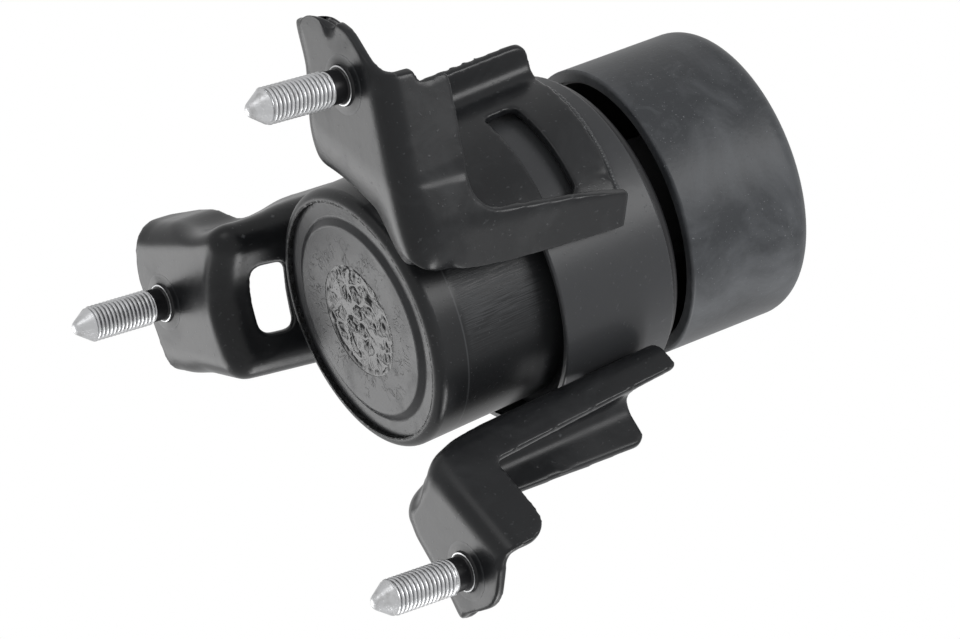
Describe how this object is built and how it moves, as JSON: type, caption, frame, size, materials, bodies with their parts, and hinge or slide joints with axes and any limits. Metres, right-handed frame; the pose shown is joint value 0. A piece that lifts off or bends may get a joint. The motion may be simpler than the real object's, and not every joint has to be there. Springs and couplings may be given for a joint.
{
  "type": "hydraulic engine mount",
  "caption": "Hydraulic engine mount: a round rubber and steel body held in a band on pressed channel legs with threaded studs, with a rubber-covered cup above.",
  "frame": {"origin": "on foot A's seating face, 14 mm inboard of its stud's axis", "axes": "+Z from the feet towards the cup, square to the feet; +X the way leg A points from the middle; -Z the way the studs point"},
  "size_m": [0.1424, 0.1736, 0.1683],
  "materials": {
    "can_paint": "semi-gloss black paint with brushed lines",
    "band_paint": "satin black paint",
    "leg_paint": "satin black electro-coat over a pressed sheet",
    "inner_steel": "dull black",
    "spring_rubber": "matt black",
    "cup_rubber": "matt black with a dusty bloom",
    "skin_rubber": "crumpled satin black",
    "stud_zinc": "bright zinc plating",
    "plate_alloy": "as cast"
  },
  "bodies": {
    "root": {"lower_can": "can_paint", "end_plate": "can_paint", "diaphragm": "skin_rubber", "lower_plate": "plate_alloy", "track_plate": "plate_alloy", "decoupler": "spring_rubber", "carrier_band": "band_paint", "spring_ring": "inner_steel", "main_spring": "spring_rubber", "core_boss": "inner_steel", "top_cup": "inner_steel", "stopper_sleeve": "cup_rubber", "leg_a": "leg_paint", "leg_b": "leg_paint", "leg_c": "leg_paint", "stud_a": "stud_zinc", "stud_b": "stud_zinc", "stud_c": "stud_zinc", "weld_a": "leg_paint", "weld_b": "leg_paint", "weld_c": "leg_paint"}
  },
  "joints": []
}
